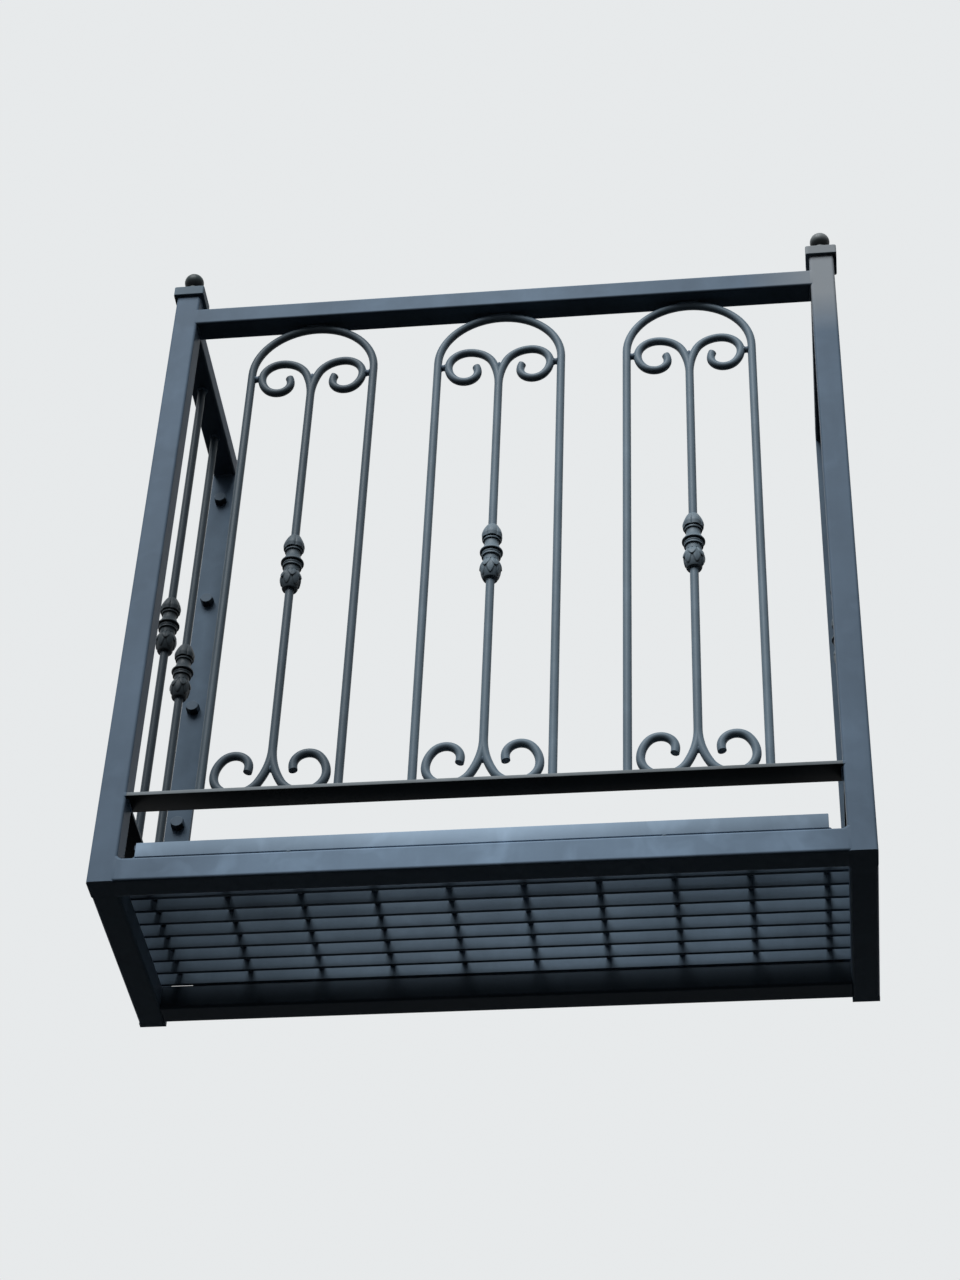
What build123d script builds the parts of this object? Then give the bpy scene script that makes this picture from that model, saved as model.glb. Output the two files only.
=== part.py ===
from build123d import *

import os
from math import cos, radians, sin

# A shallow wrought balcony rail that bolts over a door opening.
# X runs along the wall, to the right as seen from outside. Y runs into the wall, whose face is Y = 0,
# so the balcony stands out towards -Y. Z is up, and Z = 0 is the top of the square base tubes.
# The origin is on the back face of the left wall plate, on its centre line.

# Overall size
overall_width = 1054.1
overall_depth = 355.6

# Square tube of the posts and the base frame
tube_size = 38.1
tube_wall = 3.0
tube_corner = 4.0

# Guard heights above the top of the base tubes
top_rail_height = 1095.0
top_rail_section = 34.9
lower_rail_underside = 105.2
lower_rail_thickness = 6.4

# Flat wall plates with five lag bolt holes each
plate_thickness = 9.5
plate_hole_diameter = 14.3
plate_hole_count = 5
plate_lowest_hole = 89.0
plate_highest_hole_drop = 96.0

# Post caps with a ball
post_rise = 44.7
cap_size = 46.4
cap_skirt = 17.0
cap_pocket_depth = 12.7
cap_pocket_clearance = 0.3
cap_roof_rise = 9.0
cap_roof_top = 17.0
cap_edge_break = 1.2
cap_neck_diameter = 13.0
cap_neck_height = 9.0
cap_collar_diameter = 18.0
cap_collar_height = 3.0
ball_diameter = 30.6

# Round bars of the three arched motifs and of the sides
bar_diameter = 12.7
bar_setback = 4.8
weld_gap = 0.2
motif_pitch = 295.9
arch_half_span = 96.8
side_bar_count = 2
side_bar_pitch = 109.5

# Scrolls. Each bend is a radius, as a multiple of the one at the scroll's side, and the degrees that it turns.
upper_fork_drop = 158.1
upper_scroll_gap = 4.4
upper_scroll_bends = ((4.2, 22), (1.365, 68), (1.0, 90), (1.29, 40), (0.74, 50), (0.625, 90), (0.97, 24))
lower_scroll_gap = 5.1
lower_scroll_bends = ((3.87, 30), (1.19, 60), (1.0, 90), (1.42, 40), (0.71, 50), (0.67, 90), (1.29, 13))
scroll_tab_diameter = 9.5

# Cast knuckles on the stems and on the side bars
knuckle_centre_height = 545.0
knuckle_length = 104.0
knuckle_bore_clearance = 0.3
knuckle_mouth_diameter = 16.4
knuckle_dome_diameter = 29.0
knuckle_dome_height = 25.0
knuckle_lip_height = 3.5
knuckle_neck_diameter = 21.4
knuckle_ring_diameter = 25.4
knuckle_ring_height = 3.4
knuckle_groove_height = 1.6
knuckle_ring_break = 0.7
knuckle_bell_diameter = 30.8
knuckle_bell_height = 17.0
knuckle_rim_height = 2.2
knuckle_bulb_diameter = 29.6
knuckle_bulb_shoulder = 16.5
knuckle_foot_diameter = 19.4

# Bar grating of the floor
grating_bar_height = 25.4
grating_bar_thickness = 4.8
grating_bar_count = 11
grating_end_inset = 4.0
grating_short_bars = 2
cross_rod_count = 10
cross_rod_pitch = 101.6
cross_rod_size = 6.0
short_bar_overhang = 8.0

# Positions that follow from the sizes above
left_face = -tube_size / 2
right_face = left_face + overall_width
centre_line = (left_face + right_face) / 2
inner_left = left_face + tube_size
inner_right = right_face - tube_size
front_face = -overall_depth
frame_back = front_face + tube_size
plate_front = -plate_thickness
back_tube_face = plate_front - tube_size
base_underside = -tube_size
top_rail_underside = top_rail_height - top_rail_section
upper_fork_height = top_rail_underside - upper_fork_drop
lower_rail_top = lower_rail_underside + lower_rail_thickness
rail_line = front_face + tube_size / 2
bar_line = rail_line + bar_setback
bar_radius = bar_diameter / 2
post_top = top_rail_height + post_rise
motif_centres = {
    "left": centre_line - motif_pitch,
    "middle": centre_line,
    "right": centre_line + motif_pitch,
}
side_lines = {"left": left_face + tube_size / 2, "right": right_face - tube_size / 2}


def box_between(low, high):
    """A plain box from its lowest corner to its highest."""
    size = [b - a for a, b in zip(low, high)]
    middle = [(a + b) / 2 for a, b in zip(low, high)]
    return Pos(*middle) * Box(*size)


def hollow_tube(start, direction, length, across, upright):
    """A rectangular tube with rounded corners. It runs from start along direction."""
    across_axis = (0, 1, 0) if direction[0] else (1, 0, 0)
    outline = RectangleRounded(across, upright, tube_corner)
    hollow = RectangleRounded(across - 2 * tube_wall, upright - 2 * tube_wall, tube_corner / 2)
    section = Plane(origin=start, x_dir=across_axis, z_dir=direction) * (outline - hollow)
    return extrude(section, amount=length)


def tube_along_wall(y, z, upright):
    """A tube between the two posts or the two side tubes."""
    return hollow_tube((inner_left, y, z), (1, 0, 0), inner_right - inner_left, tube_size, upright)


def tube_to_wall(x, z, upright):
    """A tube from the back of a post to the front of its wall plate."""
    return hollow_tube((x, frame_back, z), (0, 1, 0), plate_front - frame_back, tube_size, upright)


# Frame
def base_front():
    return tube_along_wall(rail_line, base_underside / 2, tube_size)


def base_back():
    return tube_along_wall(back_tube_face + tube_size / 2, base_underside / 2, tube_size)


def base_side(x):
    return tube_to_wall(x, base_underside / 2, tube_size)


def post(x):
    """A square post, closed at its foot by a welded plug."""
    shaft = hollow_tube((x, rail_line, base_underside), (0, 0, 1), post_top - base_underside, tube_size, tube_size)
    plug_size = tube_size - 2 * tube_wall
    plug = Pos(x, rail_line, base_underside) * extrude(
        RectangleRounded(plug_size, plug_size, tube_corner / 2), amount=tube_wall
    )
    return shaft + plug


def top_rail_front():
    return tube_along_wall(rail_line, top_rail_height - top_rail_section / 2, top_rail_section)


def top_rail_side(x):
    return tube_to_wall(x, top_rail_height - top_rail_section / 2, top_rail_section)


def lower_rail_front():
    return box_between(
        (inner_left, front_face, lower_rail_underside),
        (inner_right, frame_back, lower_rail_top),
    )


def lower_rail_side(x):
    return box_between(
        (x - tube_size / 2, frame_back, lower_rail_underside),
        (x + tube_size / 2, plate_front, lower_rail_top),
    )


def wall_plate(x):
    """A flat bar against the wall, as wide as the tubes, with a row of bolt holes."""
    plate = box_between(
        (x - tube_size / 2, plate_front, base_underside),
        (x + tube_size / 2, 0, top_rail_height),
    )
    highest_hole = top_rail_height - plate_highest_hole_drop
    hole_pitch = (highest_hole - plate_lowest_hole) / (plate_hole_count - 1)
    for row in range(plate_hole_count):
        z = plate_lowest_hole + row * hole_pitch
        plate -= Pos(x, plate_front / 2, z) * Rot(90, 0, 0) * Cylinder(plate_hole_diameter / 2, plate_thickness)
    return plate


# Post cap
def post_cap(x):
    """A cast cap: a square skirt over the tube, a low pyramid roof, a neck and a ball."""
    skirt_bottom = post_top - cap_pocket_depth
    skirt = extrude(Rectangle(cap_size, cap_size), amount=cap_skirt)
    skirt = chamfer(skirt.faces().sort_by(Axis.Z)[-1].edges(), cap_edge_break)
    roof_foot = cap_size - 2 * cap_edge_break
    roof = loft([Rectangle(roof_foot, roof_foot), Pos(0, 0, cap_roof_rise) * Rectangle(cap_roof_top, cap_roof_top)])
    neck_foot = cap_skirt + cap_roof_rise
    collar_foot = neck_foot + cap_neck_height - cap_collar_height
    neck = Pos(0, 0, neck_foot) * extrude(Circle(cap_neck_diameter / 2), amount=cap_neck_height)
    collar = Pos(0, 0, collar_foot) * extrude(Circle(cap_collar_diameter / 2), amount=cap_collar_height)
    ball_radius = ball_diameter / 2
    ball_dip = ball_radius - (ball_radius**2 - (cap_neck_diameter / 2) ** 2) ** 0.5
    ball = Pos(0, 0, neck_foot + cap_neck_height + ball_radius - ball_dip) * Sphere(ball_radius)
    body = skirt + Pos(0, 0, cap_skirt) * roof + neck + collar + ball
    pocket_size = tube_size + 2 * cap_pocket_clearance
    pocket = extrude(RectangleRounded(pocket_size, pocket_size, tube_corner), amount=cap_pocket_depth)
    return Pos(x, rail_line, skirt_bottom) * (body - pocket)


# Round bars
def upright_bar(x, y, low, high):
    """A plain round bar between two heights."""
    return Pos(x, y, low) * extrude(Circle(bar_radius), amount=high - low)


def in_bar_plane(x, z):
    """The upright plane of the front motifs, with its own zero at x and z."""
    return Plane(origin=(x, bar_line, z), x_dir=(1, 0, 0), z_dir=(0, -1, 0))


def arch(x):
    """An inverted U of round bar, whose crown touches the top rail and whose legs stand on the lower rail."""
    foot = lower_rail_top
    crown = top_rail_underside - weld_gap - bar_radius
    spring = crown - arch_half_span
    left_leg = Line((-arch_half_span, foot), (-arch_half_span, spring))
    bend = JernArc(left_leg @ 1, left_leg % 1, arch_half_span, -180)
    right_leg = Line(bend @ 1, (arch_half_span, foot))
    path = left_leg + bend + right_leg
    section = Plane(origin=left_leg @ 0, z_dir=left_leg % 0) * Circle(bar_radius)
    return in_bar_plane(x, 0) * sweep(section, path=path)


def bend_path(start, heading, bends):
    """Tangent arcs that turn anticlockwise, one after another."""
    pieces = []
    point = Vector(*start)
    tangent = Vector(*heading)
    for radius, turn in bends:
        piece = JernArc(point, tangent, radius, turn)
        pieces.append(piece)
        point = piece @ 1
        tangent = piece % 1
    return Wire([edge for piece in pieces for edge in piece.edges()])


def scroll_pair(bends, upward):
    """Two mirrored scrolls that part from one round bar end, drawn about the end's centre."""
    path = bend_path((0, 0), (0, 1), bends)
    section = Plane(origin=path @ 0, z_dir=path % 0) * Circle(bar_radius)
    scroll = sweep(section, path=path)
    left_space = Pos(-motif_pitch / 2, 0, 0) * Box(motif_pitch, overall_width, bar_diameter)
    left_half = scroll & left_space
    pair = left_half + mirror(left_half, Plane.YZ)
    return pair if upward else mirror(pair, Plane.XZ)


def path_rise(bends):
    """How far the tangent arcs climb until they head level, and how far out that is."""
    rise = 0.0
    out = 0.0
    heading = 0.0
    for radius, turn in bends:
        if heading >= 90:
            break
        new_heading = heading + turn
        rise += radius * (sin(radians(new_heading)) - sin(radians(heading)))
        out += radius * (cos(radians(heading)) - cos(radians(new_heading)))
        heading = new_heading
    return rise, out


def sized_bends(bends, gap):
    """The bends with their real radii, so that the scroll stops short of the arch's leg by the gap."""
    side_radius, _ = bends[2]
    _, out = path_rise(bends)
    size = (arch_half_span - bar_diameter - gap) / (out + side_radius)
    return [(size * radius, turn) for radius, turn in bends]


def upper_scrolls(x):
    """The forked top of a motif, with a short tab from each scroll to its leg."""
    bends = sized_bends(upper_scroll_bends, upper_scroll_gap)
    side_radius, _ = bends[2]
    rise, out = path_rise(bends)
    reach = out + side_radius
    tab = extrude(Circle(scroll_tab_diameter / 2), amount=arch_half_span - bar_radius - reach)
    tab = Pos(reach, rise - side_radius, 0) * Rot(0, 90, 0) * tab
    pair = scroll_pair(bends, True) + tab + mirror(tab, Plane.YZ)
    return in_bar_plane(x, upper_fork_height) * pair


def lower_fork_height():
    """The height at which the lower scrolls part, so that they rest on the lower rail."""
    drop, _ = path_rise(sized_bends(lower_scroll_bends, lower_scroll_gap))
    return lower_rail_top + weld_gap + bar_radius + drop


def lower_scrolls(x):
    """The forked foot of a motif, resting on the lower rail."""
    pair = scroll_pair(sized_bends(lower_scroll_bends, lower_scroll_gap), False)
    return in_bar_plane(x, lower_fork_height()) * pair


def stem(x):
    return upright_bar(x, bar_line, lower_fork_height(), upper_fork_height)


def side_bar(x, y):
    return upright_bar(x, y, lower_rail_top, top_rail_underside)


# Knuckles
def grooved_ring(z):
    """The profile of one raised ring below height z, with a groove over it."""
    neck = knuckle_neck_diameter / 2
    ring = knuckle_ring_diameter / 2
    top = z - knuckle_groove_height
    foot = top - knuckle_ring_height
    return [(neck, z), (neck, top), (ring, top - knuckle_ring_break), (ring, foot + knuckle_ring_break), (neck, foot)]


def knuckle(x, y):
    """A cast collar on a bar. From the top: a dome, a ring, a bell with a rim, two rings and a bulb."""
    bore = (bar_diameter + knuckle_bore_clearance) / 2
    mouth = knuckle_mouth_diameter / 2
    dome = knuckle_dome_diameter / 2
    neck = knuckle_neck_diameter / 2
    bell = knuckle_bell_diameter / 2
    bulb = knuckle_bulb_diameter / 2
    foot = knuckle_foot_diameter / 2
    ring_step = knuckle_groove_height + knuckle_ring_height
    top = knuckle_length / 2
    dome_foot = top - knuckle_dome_height
    lip_foot = dome_foot - knuckle_lip_height
    bell_top = lip_foot - ring_step - knuckle_groove_height
    bell_foot = bell_top - knuckle_bell_height
    rim_foot = bell_foot - knuckle_rim_height
    bulb_top = rim_foot - 2 * ring_step - knuckle_groove_height
    belly = bulb_top - knuckle_bulb_shoulder
    outline = [
        TangentArc((dome, dome_foot), (mouth, top), tangent=(0, 1)),
        Polyline((dome, dome_foot), (dome, lip_foot), *grooved_ring(lip_foot), (neck, bell_top)),
        TangentArc((neck, bell_top), (bell, bell_foot), tangent=(0, -1)),
        Polyline(
            (bell, bell_foot),
            (bell, rim_foot),
            *grooved_ring(rim_foot),
            *grooved_ring(rim_foot - ring_step)[1:],
            (neck, bulb_top),
        ),
        TangentArc((bulb, belly), (neck, bulb_top), tangent=(0, 1)),
        TangentArc((bulb, belly), (foot, -top), tangent=(0, -1)),
        Polyline((foot, -top), (bore, -top), (bore, top), (mouth, top)),
    ]
    face = Plane.XZ * make_face(Curve() + outline)
    return Pos(x, y, knuckle_centre_height) * revolve(face, Axis.Z, 360)


# Floor grating
def floor_grating():
    """Bearing bars along the wall, joined by cross rods at their tops. The front bars stop short of the posts.

    The first bar stands where the flat of the front tube begins, and the last one over the face of the back tube.
    """
    rods_half = (cross_rod_count - 1) * cross_rod_pitch / 2
    long_half = overall_width / 2 - grating_end_inset
    short_half = rods_half + short_bar_overhang
    first_line = front_face + tube_corner + grating_bar_thickness / 2
    bar_pitch = (back_tube_face - first_line) / (grating_bar_count - 1)
    bars = []
    for index in range(grating_bar_count):
        half = short_half if index < grating_short_bars else long_half
        y = first_line + index * bar_pitch
        bars.append(
            box_between(
                (centre_line - half, y - grating_bar_thickness / 2, 0),
                (centre_line + half, y + grating_bar_thickness / 2, grating_bar_height),
            )
        )
    rods = []
    for index in range(cross_rod_count):
        x = centre_line - rods_half + index * cross_rod_pitch
        rods.append(
            box_between(
                (x - cross_rod_size / 2, first_line, grating_bar_height - cross_rod_size),
                (x + cross_rod_size / 2, back_tube_face, grating_bar_height),
            )
        )
    return bars[0].fuse(*bars[1:], *rods)


# The balcony
def build_nodes():
    nodes = {
        "base_tube_front": base_front(),
        "base_tube_back": base_back(),
        "top_rail_front": top_rail_front(),
        "lower_rail_front": lower_rail_front(),
        "floor_grating": floor_grating(),
    }
    for side, x in side_lines.items():
        nodes[f"base_tube_{side}"] = base_side(x)
        nodes[f"post_{side}"] = post(x)
        nodes[f"post_cap_{side}"] = post_cap(x)
        nodes[f"top_rail_{side}"] = top_rail_side(x)
        nodes[f"lower_rail_{side}"] = lower_rail_side(x)
        nodes[f"wall_plate_{side}"] = wall_plate(x)
        for index in range(side_bar_count):
            y = frame_back + (index + 1) * side_bar_pitch
            nodes[f"side_bar_{side}_{index + 1}"] = side_bar(x, y)
            nodes[f"side_knuckle_{side}_{index + 1}"] = knuckle(x, y)
    for place, x in motif_centres.items():
        nodes[f"arch_{place}"] = arch(x)
        nodes[f"stem_{place}"] = stem(x)
        nodes[f"upper_scrolls_{place}"] = upper_scrolls(x)
        nodes[f"lower_scrolls_{place}"] = lower_scrolls(x)
        nodes[f"knuckle_{place}"] = knuckle(x, bar_line)
    return nodes


os.makedirs("parts", exist_ok=True)
for name, shape in build_nodes().items():
    shape.label = name
    export_step(shape, f"parts/{name}.step")
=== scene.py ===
# %% [markdown]
# A shallow black balcony rail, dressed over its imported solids. The real one is welded from square tube,
# round bar and flat bar, with cast caps and cast knuckles, a bar grating for a floor, and a satin black
# powder coat over everything. The solids already have the right shapes for the tubes and the bars, so they
# stay and get a finish. What a maker would see close up is added here: weld beads, bolt heads, the carving
# of the knuckles, the soft edges of castings and the twisted rods of the floor.

# %% Load the frame
import math

import bmesh
import bpy
import numpy as np
from mathutils import Matrix, Vector


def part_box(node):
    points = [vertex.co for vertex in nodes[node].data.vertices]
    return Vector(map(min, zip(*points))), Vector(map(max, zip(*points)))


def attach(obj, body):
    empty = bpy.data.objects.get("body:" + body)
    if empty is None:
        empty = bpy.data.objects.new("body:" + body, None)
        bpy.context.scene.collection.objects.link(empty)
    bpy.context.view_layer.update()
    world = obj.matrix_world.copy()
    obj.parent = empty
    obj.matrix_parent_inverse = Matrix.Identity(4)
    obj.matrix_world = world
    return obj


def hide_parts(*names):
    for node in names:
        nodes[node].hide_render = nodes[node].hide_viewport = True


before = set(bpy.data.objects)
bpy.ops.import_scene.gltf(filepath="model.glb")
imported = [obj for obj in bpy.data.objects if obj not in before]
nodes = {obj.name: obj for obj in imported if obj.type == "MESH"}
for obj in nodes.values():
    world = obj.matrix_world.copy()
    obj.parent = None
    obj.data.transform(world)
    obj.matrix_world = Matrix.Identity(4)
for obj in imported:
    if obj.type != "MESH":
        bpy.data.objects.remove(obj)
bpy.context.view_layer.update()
print("loaded", len(nodes), "nodes")

# %% [markdown]
# The photograph was taken from the ground, about three metres out from the wall and well below the balcony,
# with a moderate telephoto lens. The camera is written as a place, a direction and a focal length, all found
# by matching the straight edges of the tubes. Pitch looks up, yaw turns to the left and roll tilts the head.

# %% Camera
PHOTO_SIZE = (960, 1280)
SENSOR_LONG_SIDE = 36.0
FOCAL_PIXELS = 2741.96
CAMERA_PLACE = (0.9214, -3.2540, -2.1833)
CAMERA_PITCH = 0.71445
CAMERA_YAW = -0.14426
CAMERA_ROLL = 0.04449


def looking(place, pitch, yaw, roll):
    """The camera's matrix: forward is the yawed and pitched unit vector, right is level, roll turns both."""
    forward = Vector((math.sin(yaw) * math.cos(pitch), math.cos(yaw) * math.cos(pitch), math.sin(pitch)))
    level = Vector((math.cos(yaw), -math.sin(yaw), 0.0))
    upright = level.cross(forward)
    right = math.cos(roll) * level + math.sin(roll) * upright
    up = math.cos(roll) * upright - math.sin(roll) * level
    turn = Matrix((right, up, -forward)).transposed()
    return Matrix.Translation(place) @ turn.to_4x4()


lens = bpy.data.cameras.new("photo_camera")
lens.sensor_width = SENSOR_LONG_SIDE
lens.lens = FOCAL_PIXELS / max(PHOTO_SIZE) * SENSOR_LONG_SIDE
lens.clip_end = 100.0
camera = bpy.data.objects.new("photo_camera", lens)
camera.matrix_world = looking(CAMERA_PLACE, CAMERA_PITCH, CAMERA_YAW, CAMERA_ROLL)
bpy.context.scene.collection.objects.link(camera)
bpy.context.scene.camera = camera
print("camera with a lens of", round(lens.lens, 1), "mm")

# %% [markdown]
# The world and the finishes are built from nodes. A few helpers add a node, set its inputs and join it to
# others, so that each recipe further down reads as a list of what it does. The Mix node has inputs for every
# kind of value, and its colours are the seventh and the eighth, so their places get names.

# %% Node helpers
MIX_SHARE, MIX_FIRST, MIX_SECOND, MIX_COLOUR = 0, 6, 7, 2


def add_node(tree, kind, **settings):
    """Adds a node. Settings that name an input set its value, and the others set the node's own fields."""
    made = tree.nodes.new(kind)
    for key, value in settings.items():
        if key in made.inputs:
            made.inputs[key].default_value = value
        else:
            setattr(made, key, value)
    return made


def feed(tree, source, socket):
    """Sets the socket to a fixed colour, or links it to another socket."""
    if isinstance(source, tuple):
        socket.default_value = source
    else:
        tree.links.new(source, socket)


def axes(tree, source):
    """The X, Y and Z of a vector, as sockets."""
    made = add_node(tree, "ShaderNodeSeparateXYZ")
    tree.links.new(source, made.inputs[0])
    return made.outputs


def ranged(tree, source, low, high, to_low, to_high):
    """Maps source from low..high to to_low..to_high, and holds it at the ends."""
    limits = {"From Min": low, "From Max": high, "To Min": to_low, "To Max": to_high}
    made = add_node(tree, "ShaderNodeMapRange", **limits)
    tree.links.new(source, made.inputs["Value"])
    return made.outputs[0]


def combined(tree, operation, first, *others):
    """The product of several values, or the greatest of them, as operation says."""
    for other in others:
        made = add_node(tree, "ShaderNodeMath", operation=operation)
        tree.links.new(first, made.inputs[0])
        tree.links.new(other, made.inputs[1])
        first = made.outputs[0]
    return first


def mixed(tree, share, first, second):
    """The colour first, mixed towards second by share."""
    made = add_node(tree, "ShaderNodeMix", data_type="RGBA")
    tree.links.new(share, made.inputs[MIX_SHARE])
    feed(tree, first, made.inputs[MIX_FIRST])
    feed(tree, second, made.inputs[MIX_SECOND])
    return made.outputs[MIX_COLOUR]


print("node helpers ready")

# %% [markdown]
# Outdoors this rail is lit by the sky above and gets almost nothing from the dark ground below, which is why
# its undersides look black. The house behind it gives little light too. The world does the same for diffuse
# light: it is bright high up, dark below the horizon, and weaker from the wall's side and from the right.
# What the camera and the reflections see is a plain pale backdrop instead, so the world asks with a Light
# Path node what kind of ray is coming, and picks one of the two.

# %% World
SKY_LIGHT = (0.35, 0.40, 0.47, 1.0)
GROUND_LIGHT = (0.010, 0.008, 0.006, 1.0)
HORIZON, BRIGHT_HEIGHT = 0.0, 0.55
WALL_SIDE, WALL_SIDE_LIGHT = (-0.6, 0.5), 0.35
RIGHT_SIDE, RIGHT_SIDE_LIGHT = (-0.2, 0.8), 0.32
BACKDROP = (0.80, 0.82, 0.83, 1.0)


def lit_and_seen(tree, lit, seen, out):
    """Diffuse rays meet the shader lit. Camera, glossy and transmission rays meet the shader seen."""
    path = add_node(tree, "ShaderNodeLightPath").outputs
    kinds = [path[kind] for kind in ("Is Camera Ray", "Is Glossy Ray", "Is Transmission Ray")]
    choose = add_node(tree, "ShaderNodeMixShader")
    for place, source in enumerate((combined(tree, "MAXIMUM", *kinds), lit, seen)):
        tree.links.new(source, choose.inputs[place])
    tree.links.new(choose.outputs[0], out.inputs["Surface"])


world = bpy.data.worlds.new("studio")
bpy.context.scene.world = world
world.use_nodes = True
sky = world.node_tree
sky.nodes.clear()
ray = axes(sky, add_node(sky, "ShaderNodeTexCoord").outputs["Generated"])
upwards = ranged(sky, ray["Z"], HORIZON, BRIGHT_HEIGHT, 0.0, 1.0)
wallwards = ranged(sky, ray["Y"], *WALL_SIDE, 1.0, WALL_SIDE_LIGHT)
rightwards = ranged(sky, ray["X"], *RIGHT_SIDE, 1.0, RIGHT_SIDE_LIGHT)
light_side = add_node(sky, "ShaderNodeBackground")
sky.links.new(mixed(sky, upwards, GROUND_LIGHT, SKY_LIGHT), light_side.inputs["Color"])
sky.links.new(combined(sky, "MULTIPLY", wallwards, rightwards), light_side.inputs["Strength"])
plain_side = add_node(sky, "ShaderNodeBackground", Color=BACKDROP, Strength=1.0)
world_out = add_node(sky, "ShaderNodeOutputWorld")
lit_and_seen(sky, light_side.outputs[0], plain_side.outputs[0], world_out)
bpy.context.scene.view_settings.view_transform = "Standard"
print("world of", len(sky.nodes), "nodes")

# %% [markdown]
# One large soft lamp stands in for the bright part of the sky, high up in front and far away, so that the
# left and right ends get the same light. It is an area lamp, because a wide one gives the long soft gradients
# that show on tube corners and on round bar. At fifty degrees up it reaches the faces of the floor's bars
# over their neighbours' tops, but nothing that tilts down, so the undersides and lower corners stay dark.

# %% Lamp
KEY_PLACE, KEY_SIZE, KEY_POWER = (-1.6, -8.6, 11.2), 8.5, 2250.0
KEY_COLOUR = (0.96, 0.985, 1.0)
BALCONY_MIDDLE = (0.508, -0.18, 0.55)

key_light = bpy.data.lights.new("key_lamp", "AREA")
key_light.size = KEY_SIZE
key_light.energy = KEY_POWER
key_light.color = KEY_COLOUR
key_lamp = bpy.data.objects.new("key_lamp", key_light)
key_aim = (Vector(BALCONY_MIDDLE) - Vector(KEY_PLACE)).to_track_quat("-Z", "Y")
key_lamp.matrix_world = Matrix.Translation(KEY_PLACE) @ key_aim.to_matrix().to_4x4()
bpy.context.scene.collection.objects.link(key_lamp)
print("lamp", round((Vector(BALCONY_MIDDLE) - Vector(KEY_PLACE)).length, 1), "m away")

# %% [markdown]
# The floor lies one and a half metres under the camera, as ground does under a camera held at eye height,
# because the photograph looks up from below. It is plain and pale to the eye and in reflections, and dark to
# the light that bounces, so that it doesn't light the undersides.

# %% Floor
FLOOR_LEVEL = -3.7
FLOOR_HALF = 9.0
FLOOR_COLOUR = (0.78, 0.79, 0.79, 1.0)
FLOOR_BOUNCE = (0.006, 0.006, 0.006, 1.0)


def empty_finish(name):
    """A new material and its node tree, with no nodes in it."""
    made = bpy.data.materials.new(name)
    made.use_nodes = True
    made.node_tree.nodes.clear()
    return made, made.node_tree


floor_finish, floor_tree = empty_finish("floor_finish")
floor_pale = add_node(floor_tree, "ShaderNodeBsdfDiffuse", Color=FLOOR_COLOUR)
floor_dark = add_node(floor_tree, "ShaderNodeBsdfDiffuse", Color=FLOOR_BOUNCE)
floor_out = add_node(floor_tree, "ShaderNodeOutputMaterial")
lit_and_seen(floor_tree, floor_dark.outputs[0], floor_pale.outputs[0], floor_out)

floor_mesh = bpy.data.meshes.new("studio_floor")
corners = np.array([(-1, -1), (1, -1), (1, 1), (-1, 1)]) * FLOOR_HALF
floor_points = [(x, y, FLOOR_LEVEL) for x, y in corners]
floor_mesh.from_pydata(floor_points, [], [(0, 1, 2, 3)])
floor_mesh.materials.append(floor_finish)
floor = bpy.data.objects.new("studio_floor", floor_mesh)
bpy.context.scene.collection.objects.link(floor)
print("floor at", FLOOR_LEVEL, "m")

# %% [markdown]
# The finish is a satin powder coat, sprayed as powder and baked. Up close it has a fine orange peel, and
# outdoors it gathers faint clouds, wiped smudges, light rain streaks, and pale dust on whatever faces up.
# All of it comes from noise on Object coordinates, so it sits still on the metal from every side. An image
# could hold the same, but it would have to be painted, and noise stays sharp at any distance. These helpers
# are the parts of the recipe: noise, a gain that changes along the balcony, a colour times a gain, and bumps.

# %% Patterns on the coat
CLOUD_SCALE, SMUDGE_SCALE, GRAIN_SCALE, PIT_SCALE, PEEL_SCALE = 5.0, 21.0, 160.0, 260.0, 620.0
STREAK_STRETCH = (45.0, 45.0, 3.0)
PEEL, PEEL_DEPTH, PIT_DEPTH = 0.10, 0.0006, 0.0012
EVEN = ((0.0, 1.0), (1.0, 1.0))


def noise(tree, where, scale, **settings):
    """Noise at the points where. Its largest patches are about 1 / scale of a metre wide."""
    made = add_node(tree, "ShaderNodeTexNoise", Scale=scale, **settings)
    tree.links.new(where, made.inputs["Vector"])
    return made.outputs["Fac"]


def gain_along_x(tree, x, stops):
    """Straight lines through stops, pairs of X in metres and gain. The ramp holds half of the gain."""
    ramp = add_node(tree, "ShaderNodeValToRGB")
    points = ramp.color_ramp.elements
    for k, (place, gain) in enumerate(stops):
        point = points[k] if k < len(points) else points.new(place)
        point.position = place
        point.color = (gain / 2, gain / 2, gain / 2, 1.0)
    tree.links.new(x, ramp.inputs[0])
    return ranged(tree, ramp.outputs["Color"], 0.0, 1.0, 0.0, 2.0)


def scaled(tree, colour, gain):
    """A colour times a gain."""
    made = add_node(tree, "ShaderNodeVectorMath", operation="SCALE")
    feed(tree, colour, made.inputs[0])
    tree.links.new(gain, made.inputs["Scale"])
    return made.outputs[0]


def bumped(tree, height, strength, depth, normal=None):
    """The surface's normal, or the given one, tilted by the slope of height."""
    made = add_node(tree, "ShaderNodeBump", Strength=strength, Distance=depth)
    tree.links.new(height, made.inputs["Height"])
    if normal:
        tree.links.new(normal, made.inputs["Normal"])
    return made.outputs[0]


print("clouds", round(1000 / CLOUD_SCALE), "mm wide, peel", round(1000 / PEEL_SCALE, 1), "mm wide")
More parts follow.
